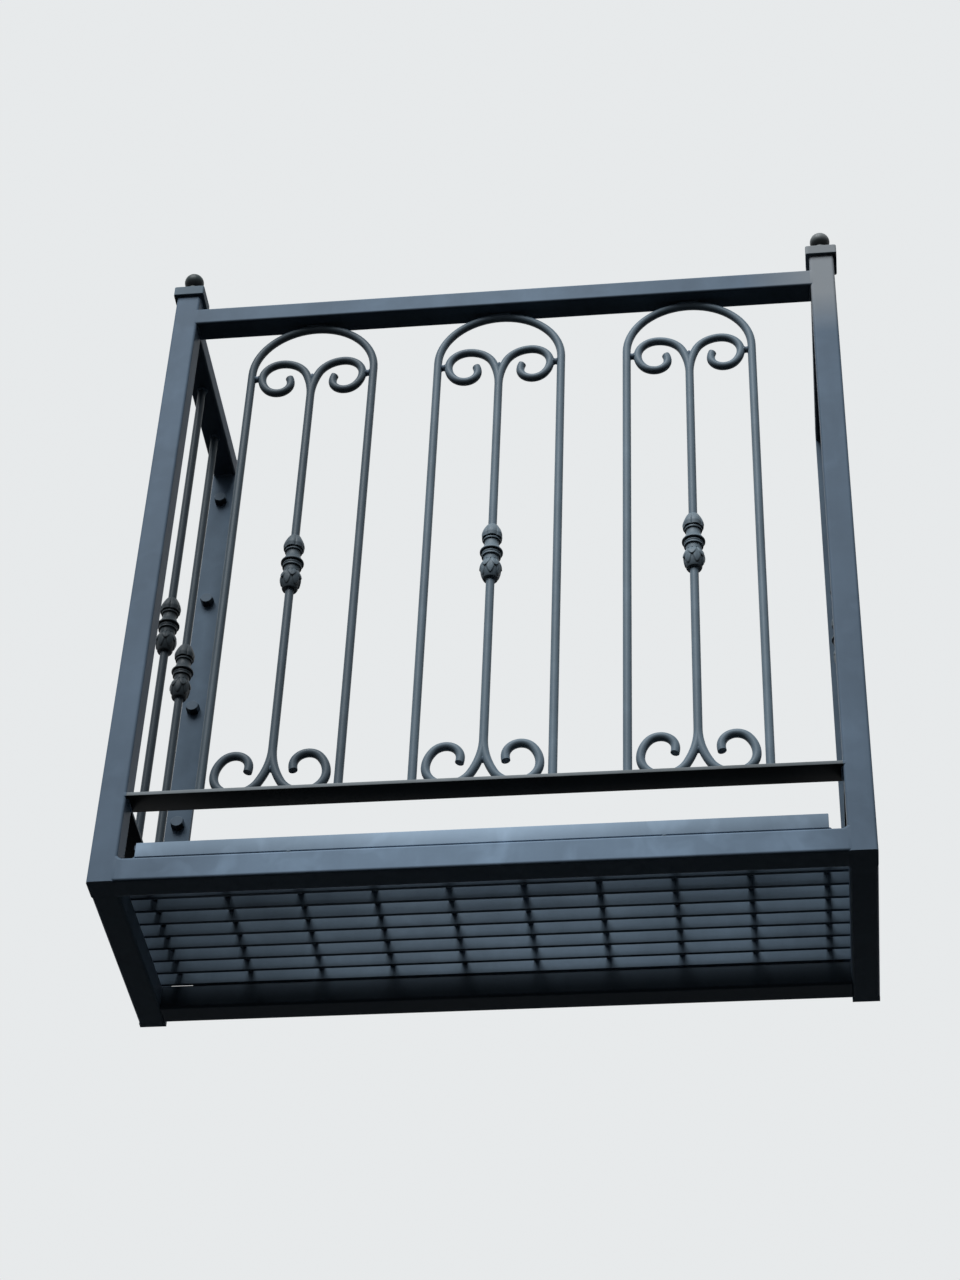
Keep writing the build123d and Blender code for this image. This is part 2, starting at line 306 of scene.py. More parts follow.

# %% [markdown]
# The coat is paler in the middle of the front and darker at the left. Much of what faces down has painted
# shade that makes it near black. The top of the right post, and what is welded to it, has a painted highlight
# that mixes it towards a pale grey. The castings also show the grain of their sand moulds, their creases have
# painted shade, and their ridges are a little lighter. One recipe does all of this on a Principled shader,
# because one coat covers the whole balcony, and a strength of 0 leaves a step out.

# %% Powder coat
DUST_COLOUR = (0.30, 0.28, 0.25, 1.0)
# The pale grey of a painted highlight at the top right, and the X and Z over which it fades in.
HIGHLIGHT_COLOUR = (0.328, 0.340, 0.346, 1.0)
HIGHLIGHT_RIGHT, HIGHLIGHT_HIGH = (0.89, 0.99), (0.95, 1.04)
NOISE_MIDDLE, SMUDGED = (0.3, 0.7), (0.52, 0.72)
# Ranges of the normal's Z: painted shade facing down, the painted highlight's fall-off, dust facing up.
FACES_DOWN, FACES_OUT, FACES_UP = (-0.65, -0.10), (-0.5, 0.0), (0.55, 1.0)
HIGHLIGHT_ON_UNDERSIDES = 0.06
CREASE_SHADE_RANGE = (0.42, 0.56)
SMOOTHER, ROUGHER = 0.08, 0.10


def powder_coat(
    name, tone, rough, shine=0.03, cloud=0.14, smudge=0.10, streak=0.03, dust=0.22, under_shade=0.0, top_right_highlight=0.0,
    pits=0.0, crease_shade=0.0, x_gain=EVEN,
):
    """Colour = tone x clouds x smudges x streaks x a gain along X, where the first three are noise about 1.
    It is darkened where it faces down as painted shade, mixed towards a pale grey at the top right as a
    painted highlight, mixed towards dust where it faces up, and darkened in the creases as painted shade, a
    little lighter on the ridges. Roughness follows the clouds. The bump is fine peel noise plus pits."""
    made, tree = empty_finish(name)
    place = add_node(tree, "ShaderNodeTexCoord").outputs["Object"]
    spot = axes(tree, place)
    surface = add_node(tree, "ShaderNodeNewGeometry").outputs
    facing = axes(tree, surface["Normal"])
    stretched = add_node(tree, "ShaderNodeMapping", Scale=STREAK_STRETCH)
    tree.links.new(place, stretched.inputs["Vector"])
    clouds = noise(tree, place, CLOUD_SCALE, Detail=5.0, Roughness=0.60)
    smudges = noise(tree, place, SMUDGE_SCALE, Detail=2.0, Roughness=0.45, Distortion=0.6)
    streaks = noise(tree, stretched.outputs[0], 1.0, Detail=3.0, Roughness=0.55)

    gains = [
        ranged(tree, clouds, *NOISE_MIDDLE, 1.0 - cloud, 1.0 + cloud),
        ranged(tree, smudges, *SMUDGED, 1.0, 1.0 + smudge),
        ranged(tree, streaks, *NOISE_MIDDLE, 1.0 - streak, 1.0 + streak),
    ]
    # A gain along X from a table: darker or paler in stretches along the front.
    if x_gain != EVEN:
        gains.append(gain_along_x(tree, spot["X"], x_gain))
    # Painted shade: darker where the surface faces down.
    if under_shade:
        gains.append(ranged(tree, facing["Z"], *FACES_DOWN, 1.0 - under_shade, 1.0))
    colour = scaled(tree, tone, combined(tree, "MULTIPLY", *gains))
    # Painted highlight: towards a pale grey at the top right, with little of it on faces that look down.
    if top_right_highlight:
        rightwards = ranged(tree, spot["X"], *HIGHLIGHT_RIGHT, 0.0, top_right_highlight)
        high = ranged(tree, spot["Z"], *HIGHLIGHT_HIGH, 0.0, 1.0)
        open_side = ranged(tree, facing["Z"], *FACES_OUT, HIGHLIGHT_ON_UNDERSIDES, 1.0)
        colour = mixed(tree, combined(tree, "MULTIPLY", rightwards, high, open_side), colour, HIGHLIGHT_COLOUR)
    up = ranged(tree, facing["Z"], *FACES_UP, 0.0, dust)
    grains = noise(tree, place, GRAIN_SCALE, Detail=2.0)
    colour = mixed(tree, combined(tree, "MULTIPLY", up, grains), colour, DUST_COLOUR)
    # Painted shade: darker in the creases, where Pointiness is low, and a little lighter on the ridges.
    if crease_shade:
        crease_shade_gain = ranged(tree, surface["Pointiness"], *CREASE_SHADE_RANGE, 1.0 - crease_shade, 1.0 + crease_shade / 3)
        colour = scaled(tree, colour, crease_shade_gain)

    normal = bumped(tree, noise(tree, place, PEEL_SCALE, Detail=2.0, Roughness=0.5), PEEL, PEEL_DEPTH)
    if pits:
        sand = noise(tree, place, PIT_SCALE, Detail=4.0, Roughness=0.7)
        normal = bumped(tree, sand, pits, PIT_DEPTH, normal)
    roughness = ranged(tree, clouds, 0.0, 1.0, rough - SMOOTHER, rough + ROUGHER)
    shader = add_node(tree, "ShaderNodeBsdfPrincipled", Metallic=0.0)
    shader.inputs["Specular IOR Level"].default_value = shine
    for source, socket in ((colour, "Base Color"), (roughness, "Roughness"), (normal, "Normal")):
        tree.links.new(source, shader.inputs[socket])
    out = add_node(tree, "ShaderNodeOutputMaterial")
    tree.links.new(shader.outputs[0], out.inputs["Surface"])
    return made


print("one recipe for every coat")

# %% [markdown]
# Each kind of metal uses the recipe in its own way: its tone, its roughness, its gain along X, how much
# painted highlight and painted shade it takes, and how coarse it is. A gain table gives the gain at places
# along the front, from 0 m at the left post to 1 m near the right one. The tones were set by laying the
# render beside the photograph.

# %% Finishes
TUBE_GAIN = ((0.0, 1.0), (0.07, 1.08), (0.20, 1.66), (0.50, 1.66), (0.75, 1.50), (0.93, 1.32), (1.0, 1.03))
RAIL_GAIN = ((0.0, 0.96), (0.30, 1.02), (0.50, 1.24), (0.68, 1.08), (0.80, 0.96), (1.0, 0.96))
STRIP_GAIN = ((0.0, 1.0), (0.25, 1.06), (0.42, 1.38), (0.60, 1.38), (0.80, 1.08), (1.0, 1.0))
BAR_GAIN = ((0.0, 0.55), (0.12, 0.68), (0.31, 0.80), (0.42, 1.28), (0.60, 1.42), (1.0, 1.42))
CAST_GAIN = ((0.0, 0.50), (0.15, 0.62), (0.31, 1.10), (0.45, 1.70), (1.0, 1.70))
FLOOR_GAIN = ((0.0, 0.72), (0.20, 0.80), (0.45, 1.20), (0.80, 1.30), (1.0, 1.30))
FRAME_TONE = (0.116, 0.160, 0.213)

frame_coat = powder_coat("frame_coat", FRAME_TONE, 0.42, top_right_highlight=0.70)
front_tube_coat = powder_coat("front_tube_coat", FRAME_TONE, 0.42, smudge=0.22, x_gain=TUBE_GAIN)
# A dark copy of the frame's coat: painted shade for the shade of the grating on the back tube.
back_tube_shaded_coat = powder_coat("back_tube_shaded_coat", (0.034, 0.048, 0.064), 0.46)
top_rail_coat = powder_coat(
    "top_rail_coat", (0.124, 0.170, 0.224), 0.44, cloud=0.24, under_shade=0.5, top_right_highlight=0.50, x_gain=RAIL_GAIN
)
# A paler copy of the frame's coat, painted highlight on the rails' front edges, and painted shade underneath.
lower_rail_lit_coat = powder_coat("lower_rail_lit_coat", (0.215, 0.238, 0.250), 0.44, dust=0.10, under_shade=0.93)
plate_coat = powder_coat("plate_coat", (0.112, 0.156, 0.205), 0.46, cloud=0.20)
bar_coat = powder_coat("bar_coat", (0.102, 0.136, 0.164), 0.38, shine=0.10, under_shade=0.45, x_gain=BAR_GAIN)
grating_coat = powder_coat(
    "grating_coat", (0.098, 0.134, 0.172), 0.50, cloud=0.20, dust=0.12, x_gain=FLOOR_GAIN
)
# A paler copy of the grating's coat: painted highlight for the light on the front bar's face.
front_bar_lit_coat = powder_coat(
    "front_bar_lit_coat", (0.244, 0.318, 0.400), 0.48, cloud=0.12, smudge=0.20, x_gain=STRIP_GAIN
)
cast_coat = powder_coat(
    "cast_coat", (0.108, 0.139, 0.162), 0.44, shine=0.12, under_shade=0.7, pits=0.25, crease_shade=0.80, x_gain=CAST_GAIN
)
cap_coat = powder_coat(
    "cap_coat", (0.140, 0.184, 0.222), 0.44, under_shade=0.5, top_right_highlight=0.70, pits=0.20, crease_shade=0.40
)
# A darker copy of the cap's coat: painted shade on the ball and its neck.
ball_shaded_coat = powder_coat(
    "ball_shaded_coat", (0.042, 0.056, 0.058), 0.36, shine=0.12, under_shade=0.8, top_right_highlight=0.50, pits=0.16, crease_shade=0.40
)
weld_coat = powder_coat("weld_coat", (0.110, 0.148, 0.190), 0.40, pits=0.10)
bolt_coat = powder_coat("bolt_coat", (0.120, 0.160, 0.202), 0.40, under_shade=0.85, pits=0.08)
print(sum(finish.name.endswith("_coat") for finish in bpy.data.materials), "coats")

# %% [markdown]
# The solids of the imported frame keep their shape. Each one gets the coat that suits it, picked by how its
# name starts, and the round bars get the bar coat. The solids that a finer piece replaces further down are
# coated too, so that they match if that piece is ever left out.

# %% Coats on the kept solids
COAT_OF = {
    "base_tube_front": front_tube_coat,
    "base_tube_back": back_tube_shaded_coat,
    "base_tube": frame_coat,
    "post_cap": cap_coat,
    "post": frame_coat,
    "top_rail": top_rail_coat,
    "lower_rail": lower_rail_lit_coat,
    "wall_plate": plate_coat,
    "floor_grating": grating_coat,
    "knuckle": cast_coat,
    "side_knuckle": cast_coat,
}
for name, solid in nodes.items():
    fitting = [coat for start, coat in COAT_OF.items() if name.startswith(start)]
    coat = fitting[0] if fitting else bar_coat
    solid.data.materials.clear()
    solid.data.materials.append(coat)
print("coated", len(nodes), "solids")

# %% [markdown]
# Most added pieces are closed skins: a stack of rings, each ring a closed row of points, with a fan over each
# end. A helper turns such a stack, a numpy array of rows x columns x 3, into quads and triangles. Rings that
# run anticlockwise seen from ahead of the stack give faces that point outwards.

# %% Skins and pieces
def skin(rings):
    """Quads between neighbouring rings, and a triangle fan from the middle of the first and the last ring."""
    rows, columns, _ = rings.shape
    column = np.arange(columns)
    after = (column + 1) % columns
    start = (np.arange(rows - 1) * columns)[:, None]
    above = start + columns
    quads = np.stack([start + column, start + after, above + after, above + column], axis=-1)
    points = np.concatenate([rings.reshape(-1, 3), rings[:1].mean(axis=1), rings[-1:].mean(axis=1)])
    first, last = rows * columns, rows * columns + 1
    top = (rows - 1) * columns
    low_fan = np.stack([np.full(columns, first), after, column], axis=-1)
    high_fan = np.stack([np.full(columns, last), top + column, top + after], axis=-1)
    return points, quads.reshape(-1, 4), np.concatenate([low_fan, high_fan])


def loop_skin(rings):
    """Quads between neighbouring rings, with the last ring joined back to the first."""
    rows, columns, _ = rings.shape
    column = np.arange(columns)
    after = (column + 1) % columns
    start = (np.arange(rows) * columns)[:, None]
    above = (np.roll(np.arange(rows), -1) * columns)[:, None]
    quads = np.stack([start + column, start + after, above + after, above + column], axis=-1)
    return rings.reshape(-1, 3), quads.reshape(-1, 4), np.zeros((0, 3), dtype=int)


def piece(name, skins, coat, smooth_below=None, replaces=()):
    """One object from several skins. Edges flatter than smooth_below degrees are shaded smooth."""
    offsets = np.cumsum([0] + [len(points) for points, _, _ in skins])
    points = np.concatenate([points for points, _, _ in skins])
    quads = np.concatenate([faces + start for (_, faces, _), start in zip(skins, offsets)])
    fans = np.concatenate([faces + start for (_, _, faces), start in zip(skins, offsets)])
    loops = np.concatenate([quads.ravel(), fans.ravel()]).astype(np.int32)
    starts = np.concatenate([np.arange(len(quads)) * 4, len(quads) * 4 + np.arange(len(fans)) * 3])
    mesh = bpy.data.meshes.new(name)
    mesh.vertices.add(len(points))
    mesh.vertices.foreach_set("co", points.astype(np.float32).ravel())
    mesh.loops.add(len(loops))
    mesh.loops.foreach_set("vertex_index", loops)
    mesh.polygons.add(len(starts))
    mesh.polygons.foreach_set("loop_start", starts.astype(np.int32))
    mesh.update(calc_edges=True)
    mesh.validate()
    if smooth_below is not None:
        mesh.shade_smooth()
        mesh.set_sharp_from_angle(angle=math.radians(smooth_below))
    mesh.materials.append(coat)
    made = bpy.data.objects.new(name, mesh)
    bpy.context.scene.collection.objects.link(made)
    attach(made, "root")
    if replaces:
        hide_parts(*replaces)
    print(name, "has", len(starts), "faces")


def around(columns):
    """Evenly spaced angles of a full turn."""
    return np.arange(columns) * (2 * np.pi / columns)


def middle_of(name):
    """The middle of a node's box."""
    low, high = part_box(name)
    return (low + high) / 2


print("the rail's middle is at", [round(value, 3) for value in middle_of("top_rail_front")])

# %% [markdown]
# The wall plates are held by hexagon lag bolts, one in each hole. A hexagon's edge lies at apothem / cos(a),
# where a is the angle from the nearest flat. A cone turned on the crown takes the corners off, so the head's
# radius is the smaller of the hexagon and the cone, which draws the curved chamfer lines by itself. Each bolt
# stops at its own angle, as tightened bolts do.

# %% Lag bolts
BOLT_ACROSS_FLATS, BOLT_SHANK = 0.01905, 0.0127
BOLT_HEAD_HEIGHT, BOLT_CROWN, BOLT_FOOT_BREAK = 0.0120, 0.0021, 0.0004
BOLT_CONE_SLOPE = 1.0739
BOLT_PLAIN_SHARE, BOLT_COLUMNS = 0.4, 72
BOLT_HEIGHTS = np.linspace(0.089, 0.999, 5)
FIRST_BOLT_TURN = {"left": 0.1305, "right": 1.1}
GOLDEN_ANGLE = 2.399963
PLATE_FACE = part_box("wall_plate_left")[0].y


def lag_bolt(x, z, turn):
    """Rings along -Y: shank, foot of the head, hexagon, then the crown and its flat face. The cone on the
    crown loses BOLT_CONE_SLOPE of radius for each unit of height."""
    angle = around(BOLT_COLUMNS)
    apothem = BOLT_ACROSS_FLATS / 2
    corner = apothem / math.cos(math.pi / 6)
    from_flat = np.mod(angle + turn, np.pi / 3) - np.pi / 6
    hexagon = apothem / np.cos(from_flat)
    out = np.concatenate([[0.0, BOLT_FOOT_BREAK], np.linspace(BOLT_PLAIN_SHARE, 1.0, 9) * BOLT_HEAD_HEIGHT])
    cone = np.minimum(corner, corner - (out - BOLT_HEAD_HEIGHT + BOLT_CROWN) * BOLT_CONE_SLOPE)
    cone[0] = corner - BOLT_FOOT_BREAK
    head = np.minimum(hexagon[None, :], cone[:, None])
    shank = np.full((2, len(angle)), BOLT_SHANK / 2)
    radius = np.concatenate([shank, head])
    along = np.concatenate([[0.0, PLATE_FACE], PLATE_FACE - out])
    ring_x = x + radius * np.cos(angle)
    ring_z = z + radius * np.sin(angle)
    ring_y = np.broadcast_to(along[:, None], radius.shape)
    return skin(np.stack([ring_x, ring_y, ring_z], axis=-1))


for side, first_turn in FIRST_BOLT_TURN.items():
    plate_x = middle_of("wall_plate_" + side).x
    bolts = [lag_bolt(plate_x, z, first_turn + k * GOLDEN_ANGLE) for k, z in enumerate(BOLT_HEIGHTS)]
    piece("lag_bolts_" + side, bolts, bolt_coat, smooth_below=18)

# %% [markdown]
# The wall plates are flat bar with sawn ends. Their long edges are rolled slightly round, and the coat builds
# up over them. The solid is copied, its doubles are merged, and a Bevel modifier eases every sharp edge,
# the rims of the bolt holes too.

# %% Wall plates with eased edges
PLATE_EDGE = 0.0009
MERGE_WITHIN, FLAT_ANGLE = 1e-5, 0.01
SHARP_ANGLE = math.radians(40)


def eased_copy(node, name, coat, width):
    """A merged copy of a node with every edge over SHARP_ANGLE bevelled, which replaces the node."""
    mesh = nodes[node].data.copy()
    mesh.name = name
    work = bmesh.new()
    work.from_mesh(mesh)
    bmesh.ops.remove_doubles(work, verts=work.verts, dist=MERGE_WITHIN)
    inner_edges = [edge for edge in work.edges if len(edge.link_faces) == 2]
    flat_edges = [edge for edge in inner_edges if edge.calc_face_angle() < FLAT_ANGLE]
    bmesh.ops.dissolve_edges(work, edges=flat_edges, use_verts=False)
    work.to_mesh(mesh)
    work.free()
    mesh.materials.clear()
    mesh.materials.append(coat)
    made = bpy.data.objects.new(name, mesh)
    bpy.context.scene.collection.objects.link(made)
    bevel = made.modifiers.new("eased_edges", "BEVEL")
    bevel.width = width
    bevel.segments = 2
    bevel.limit_method = "ANGLE"
    bevel.angle_limit = SHARP_ANGLE
    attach(made, "root")
    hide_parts(node)
    print(name, "from", node, "with", len(mesh.polygons), "faces before its bevel")


for side in ("left", "right"):
    eased_copy("wall_plate_" + side, "wall_plate_eased_" + side, plate_coat, PLATE_EDGE)

# %% [markdown]
# The knuckles are iron castings slid on the bars: a petalled dome, a ring, a bell with a sharp rim, two more
# rings and a leafed bulb. The plain profile is a chain of tangent arcs and short steps, resampled at even
# steps and then blurred a little, which rounds each corner as a casting's are. The leaves are added as a
# height over that profile, so a knuckle is one surface of two parameters, height and angle.

# %% Knuckle profile
KNUCKLE_HALF = 0.052
KNUCKLE_BORE = 0.0065
DOME_RADIUS, DOME_WIDE, LIP_RADIUS, LIP_FOOT = 0.0155, 0.0335, 0.0147, 0.0268
DOME_TOP_RADIUS, DOME_POWER = 0.0092, 1.6
NECK_RADIUS, LOW_NECK_RADIUS = 0.0107, 0.0117
BELL_RADIUS, BELL_TOP, BELL_FOOT, RIM_FOOT = 0.0171, 0.0200, 0.0020, -0.0002
BULB_RADIUS, BULB_TOP, BELLY = 0.0157, -0.0180, -0.0305
FOOT_RADIUS, FOOT_BREAK = 0.0106, 0.0015
RINGS = ((0.0252, 0.0129), (-0.0020, 0.0143), (-0.0060, 0.0142))
RING_HEIGHT = 0.0030
PROFILE_STEP, PROFILE_BLUR = 0.00045, 0.00028


def tangent_arc(radius, height, end_radius, end_height, count=24):
    """Points of the circle that leaves (radius, height) straight along the axis and passes the end point."""
    rise = end_height - height
    reach = end_radius - radius
    curve = (reach**2 + rise**2) / (2 * reach)
    z = np.linspace(height, end_height, count)
    r = radius + curve - np.sign(curve) * np.sqrt(curve**2 - (z - height) ** 2)
    return np.stack([r, z], axis=-1)


def dome_arc(radius, height, end_radius, end_height, count=24):
    """r = end + (radius - end) x (1 - s^power), with s the share of the dome's height, so that it starts
    upright at its widest."""
    share = np.linspace(0, 1, count)
    r = end_radius + (radius - end_radius) * (1 - share**DOME_POWER)
    return np.stack([r, height + (end_height - height) * share], axis=-1)


def ring_points(top, radius):
    """The corners of one raised ring, from its foot to its top."""
    foot = top - RING_HEIGHT
    return np.array([(NECK_RADIUS, foot), (radius, foot), (radius, top), (NECK_RADIUS, top)])


def soft_profile(points, step, soft):
    """The profile at even steps along its length, both coordinates blurred by a bell curve of width soft."""
    length = np.concatenate([[0], np.cumsum(np.hypot(*np.diff(points, axis=0).T))])
    even = np.linspace(0, length[-1], int(length[-1] / step) + 1)
    line = np.stack([np.interp(even, length, points[:, k]) for k in (0, 1)], axis=-1)
    reach = int(3 * soft / step)
    weight = np.exp(-0.5 * (np.arange(-reach, reach + 1) * step / soft) ** 2)
    weight /= weight.sum()
    padded = np.pad(line, ((reach, reach), (0, 0)), mode="edge")
    return np.stack([np.convolve(padded[:, k], weight, mode="valid") for k in (0, 1)], axis=-1)


upper_ring, middle_ring, lower_ring = [ring_points(top, radius) for top, radius in RINGS]
knuckle_corners = np.concatenate(
    [
        [(FOOT_RADIUS - FOOT_BREAK, -KNUCKLE_HALF)],
        tangent_arc(BULB_RADIUS, BELLY, FOOT_RADIUS, -KNUCKLE_HALF)[::-1],
        tangent_arc(BULB_RADIUS, BELLY, LOW_NECK_RADIUS, BULB_TOP)[1:],
        [(LOW_NECK_RADIUS, RINGS[2][0] - RING_HEIGHT)],
        lower_ring,
        middle_ring,
        [(NECK_RADIUS, RIM_FOOT), (BELL_RADIUS, RIM_FOOT)],
        tangent_arc(NECK_RADIUS, BELL_TOP, BELL_RADIUS, BELL_FOOT)[::-1],
        upper_ring,
        [(NECK_RADIUS, LIP_FOOT), (LIP_RADIUS, LIP_FOOT)],
        dome_arc(DOME_RADIUS, DOME_WIDE, DOME_TOP_RADIUS, KNUCKLE_HALF),
    ]
)
knuckle_profile = soft_profile(knuckle_corners, PROFILE_STEP, PROFILE_BLUR)
print("knuckle profile has", len(knuckle_profile), "points")

# %% [markdown]
# A leaf is full width at its root and closes to a point at its tip. How far a point lies inside the leaf's
# outline, in shares of the leaf's width, sets how high the casting stands there: a soft step at the outline,
# a shallow groove along the vein, and a swelling towards the tip. Two rows of leaves overlap on the bulb. The
# dome has as many petals side by side, each a bulge of |cos| about the axis with a sharp valley between them.

# %% Knuckle castings
LEAVES, KNUCKLE_COLUMNS = 6, 108
LEAF_TAPER, LEAF_EDGE, LEAF_ROOT, LEAF_SWELL = 1.7, 0.09, 0.45, 0.75
VEIN_DEPTH, VEIN_WIDTH = 0.35, 0.07
UPPER_TIP, UPPER_PROUD = -0.0350, 0.0019
LOWER_ROOT, LOWER_TIP, LOWER_PROUD = -0.0230, -0.0475, 0.0012
LEAF_BED, LEAF_BED_FOOT = 0.0011, -0.0490
PETAL_PROUD, PETAL_RISE, PETAL_ROUND, PETAL_LEVEL = 0.0016, 0.7, 0.5, 0.75
THINNEST_WALL = 0.0004
FIRST_KNUCKLE_TURN = 0.3


def leaves(height, angle, root, tip, phase, proud):
    """Proud x soft step of (half width of the leaf here - distance from its vein) x (swell less vein)."""
    share = np.clip((height - root) / (tip - root), 0.0, 1.0)
    inside = (height - root) * (height - tip) <= 0
    across = np.mod(angle * LEAVES / (2 * np.pi) + phase, 1.0) - 0.5
    half_width = 0.5 * np.sqrt(np.clip(1.0 - share**LEAF_TAPER, 0.0, 1.0))
    margin = np.clip((half_width - np.abs(across)) / LEAF_EDGE, 0.0, 1.0)
    step = margin * margin * (3 - 2 * margin)
    vein = VEIN_DEPTH * np.exp(-((across / VEIN_WIDTH) ** 2)) * (1 - share)
    return np.where(inside, proud * step * (LEAF_ROOT + LEAF_SWELL * share - vein), 0.0)


def knuckle_casting(x, y, z, turn):
    """Outer rings from the foot to the mouth, then the bore back down, closed on itself."""
    angle = around(KNUCKLE_COLUMNS)
    height = knuckle_profile[:, 1][:, None]
    upper_row = leaves(height, angle, BULB_TOP, UPPER_TIP, 0.0, UPPER_PROUD)
    lower_row = leaves(height, angle, LOWER_ROOT, LOWER_TIP, 0.5, LOWER_PROUD)
    on_bulb = (height < BULB_TOP) & (height > LEAF_BED_FOOT)
    radius = knuckle_profile[:, 0][:, None] + np.maximum(upper_row, lower_row) - LEAF_BED * on_bulb
    climb = np.clip((KNUCKLE_HALF - height) / (KNUCKLE_HALF - DOME_WIDE), 0.0, 1.0)
    petals = np.abs(np.cos(angle * LEAVES / 2)) ** PETAL_ROUND - PETAL_LEVEL
    radius = radius + PETAL_PROUD * (climb * (height > LIP_FOOT)) ** PETAL_RISE * petals
    radius = np.maximum(radius, KNUCKLE_BORE + THINNEST_WALL)
    radius = np.concatenate([radius, np.full((2, len(angle)), KNUCKLE_BORE)])
    level = np.concatenate([knuckle_profile[:, 1], [KNUCKLE_HALF, -KNUCKLE_HALF]])
    ring_x = x + radius * np.cos(angle + turn)
    ring_y = y + radius * np.sin(angle + turn)
    ring_z = np.broadcast_to(z + level[:, None], radius.shape)
    return loop_skin(np.stack([ring_x, ring_y, ring_z], axis=-1))


knuckle_nodes = sorted(name for name in nodes if "knuckle" in name)
for count, name in enumerate(knuckle_nodes):
    casting = knuckle_casting(*middle_of(name), FIRST_KNUCKLE_TURN + count * GOLDEN_ANGLE)
    piece(name + "_casting", [casting], cast_coat, smooth_below=55, replaces=[name])

# %% [markdown]
# The post caps are castings too: a square skirt that hangs over the tube, a low roof, a short neck with a
# collar and a ball. Each ring is a superellipse, |cos|^n + |sin|^n = 1, whose exponent n runs from nearly
# square at the skirt down to 2, a circle, at the neck. The profile starts inside the pocket, turns round the
# skirt's lower edge and ends on top of the ball, so the cap is hollow underneath as the real one is. It is
# split at the foot of the neck, because the neck and the ball get a darker copy of the coat, which is
# painted shade.

# %% Post caps
CAP_HALF, CAP_SKIRT, CAP_BREAK = 0.0243, 0.0190, 0.0012
POCKET_HALF, POCKET_DEPTH, POCKET_MIDDLE = 0.01935, 0.0127, 0.002
ROOF_RISE, ROOF_TOP_HALF = 0.009, 0.0085
CAP_NECK_RADIUS, CAP_NECK_HEIGHT = 0.0065, 0.0098
COLLAR_RADIUS, COLLAR_HEIGHT = 0.009, 0.003
BALL_RADIUS, BALL_TOP_GAP, BALL_ROWS = 0.0156, 0.02, 40
SQUARE, POCKET_SQUARE, ROUND = 22.0, 12.0, 2.0
CAP_STEP, CAP_BLUR, CAP_COLUMNS = 0.0006, 0.00035, 128
PAST_POCKET, BELOW_NECK = 0.0005, 0.0002

neck_foot = CAP_SKIRT + ROOF_RISE
ball_foot = neck_foot + CAP_NECK_HEIGHT
ball_centre = ball_foot + math.sqrt(BALL_RADIUS**2 - CAP_NECK_RADIUS**2)
ball_start = math.asin(CAP_NECK_RADIUS / BALL_RADIUS)
ball_turn = np.linspace(ball_start, math.pi - BALL_TOP_GAP, BALL_ROWS)
ball_height = ball_centre - BALL_RADIUS * np.cos(ball_turn)
ball_line = np.stack([BALL_RADIUS * np.sin(ball_turn), ball_height], axis=-1)
cap_corners = np.concatenate(
    [
        [
            (POCKET_MIDDLE, POCKET_DEPTH),
            (POCKET_HALF, POCKET_DEPTH),
            (POCKET_HALF, 0.0),
            (CAP_HALF, 0.0),
            (CAP_HALF, CAP_SKIRT - CAP_BREAK),
            (CAP_HALF - CAP_BREAK, CAP_SKIRT),
            (ROOF_TOP_HALF, neck_foot),
            (CAP_NECK_RADIUS, neck_foot),
            (CAP_NECK_RADIUS, ball_foot - COLLAR_HEIGHT),
            (COLLAR_RADIUS, ball_foot - COLLAR_HEIGHT),
            (COLLAR_RADIUS, ball_foot),
        ],
        ball_line,
    ]
)
cap_profile = soft_profile(cap_corners, CAP_STEP, CAP_BLUR)


def cap_casting(x, y, z):
    """Radius = profile / (|cos|^n + |sin|^n)^(1/n), with n falling from square to round up the roof."""
    angle = around(CAP_COLUMNS)[None, :]
    half = cap_profile[:, 0][:, None]
    height = cap_profile[:, 1][:, None]
    skirt_start = np.argmax(half > POCKET_HALF + PAST_POCKET)
    inside = (np.arange(len(cap_profile)) < skirt_start)[:, None]
    climb = np.clip((height - CAP_SKIRT) / ROOF_RISE, 0.0, 1.0)
    outer_power = SQUARE ** (1 - climb) * ROUND**climb
    power = np.where(inside, POCKET_SQUARE, outer_power)
    radius = half / (np.abs(np.cos(angle)) ** power + np.abs(np.sin(angle)) ** power) ** (1 / power)
    ring_x = x + radius * np.cos(angle)
    ring_y = y + radius * np.sin(angle)
    ring_z = np.broadcast_to(z + height, radius.shape)
    rings = np.stack([ring_x, ring_y, ring_z], axis=-1)
    neck_start = np.argmax(height > neck_foot - BELOW_NECK)
    return skin(rings[: neck_start + 1]), skin(rings[neck_start:])


for side in ("left", "right"):
    node = "post_cap_" + side
    centre = middle_of(node)
    roof, ball = cap_casting(centre.x, centre.y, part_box(node)[0].z)
    piece("post_cap_casting_" + side, [roof], cap_coat, smooth_below=50, replaces=[node])
    piece("post_cap_ball_" + side, [ball], ball_shaded_coat, smooth_below=50)

# %% [markdown]
# The floor is a bar grating: thin bearing bars on edge along the wall, with twisted square rods forged into
# their tops. A bar is a rounded rectangle carried along X. A rod is a square carried along Y that turns as it
# goes, about one turn in 100 mm. Where a rod crosses a bar the metal is upset, which shows as a small lump
# on each face of the bar, but the front bar's face is dressed flat. That bar has a paler copy of the coat,
# which is a painted highlight, and it stands a little forward in the groove over the front tube's corner,
# which leaves a thin dark line between the two.

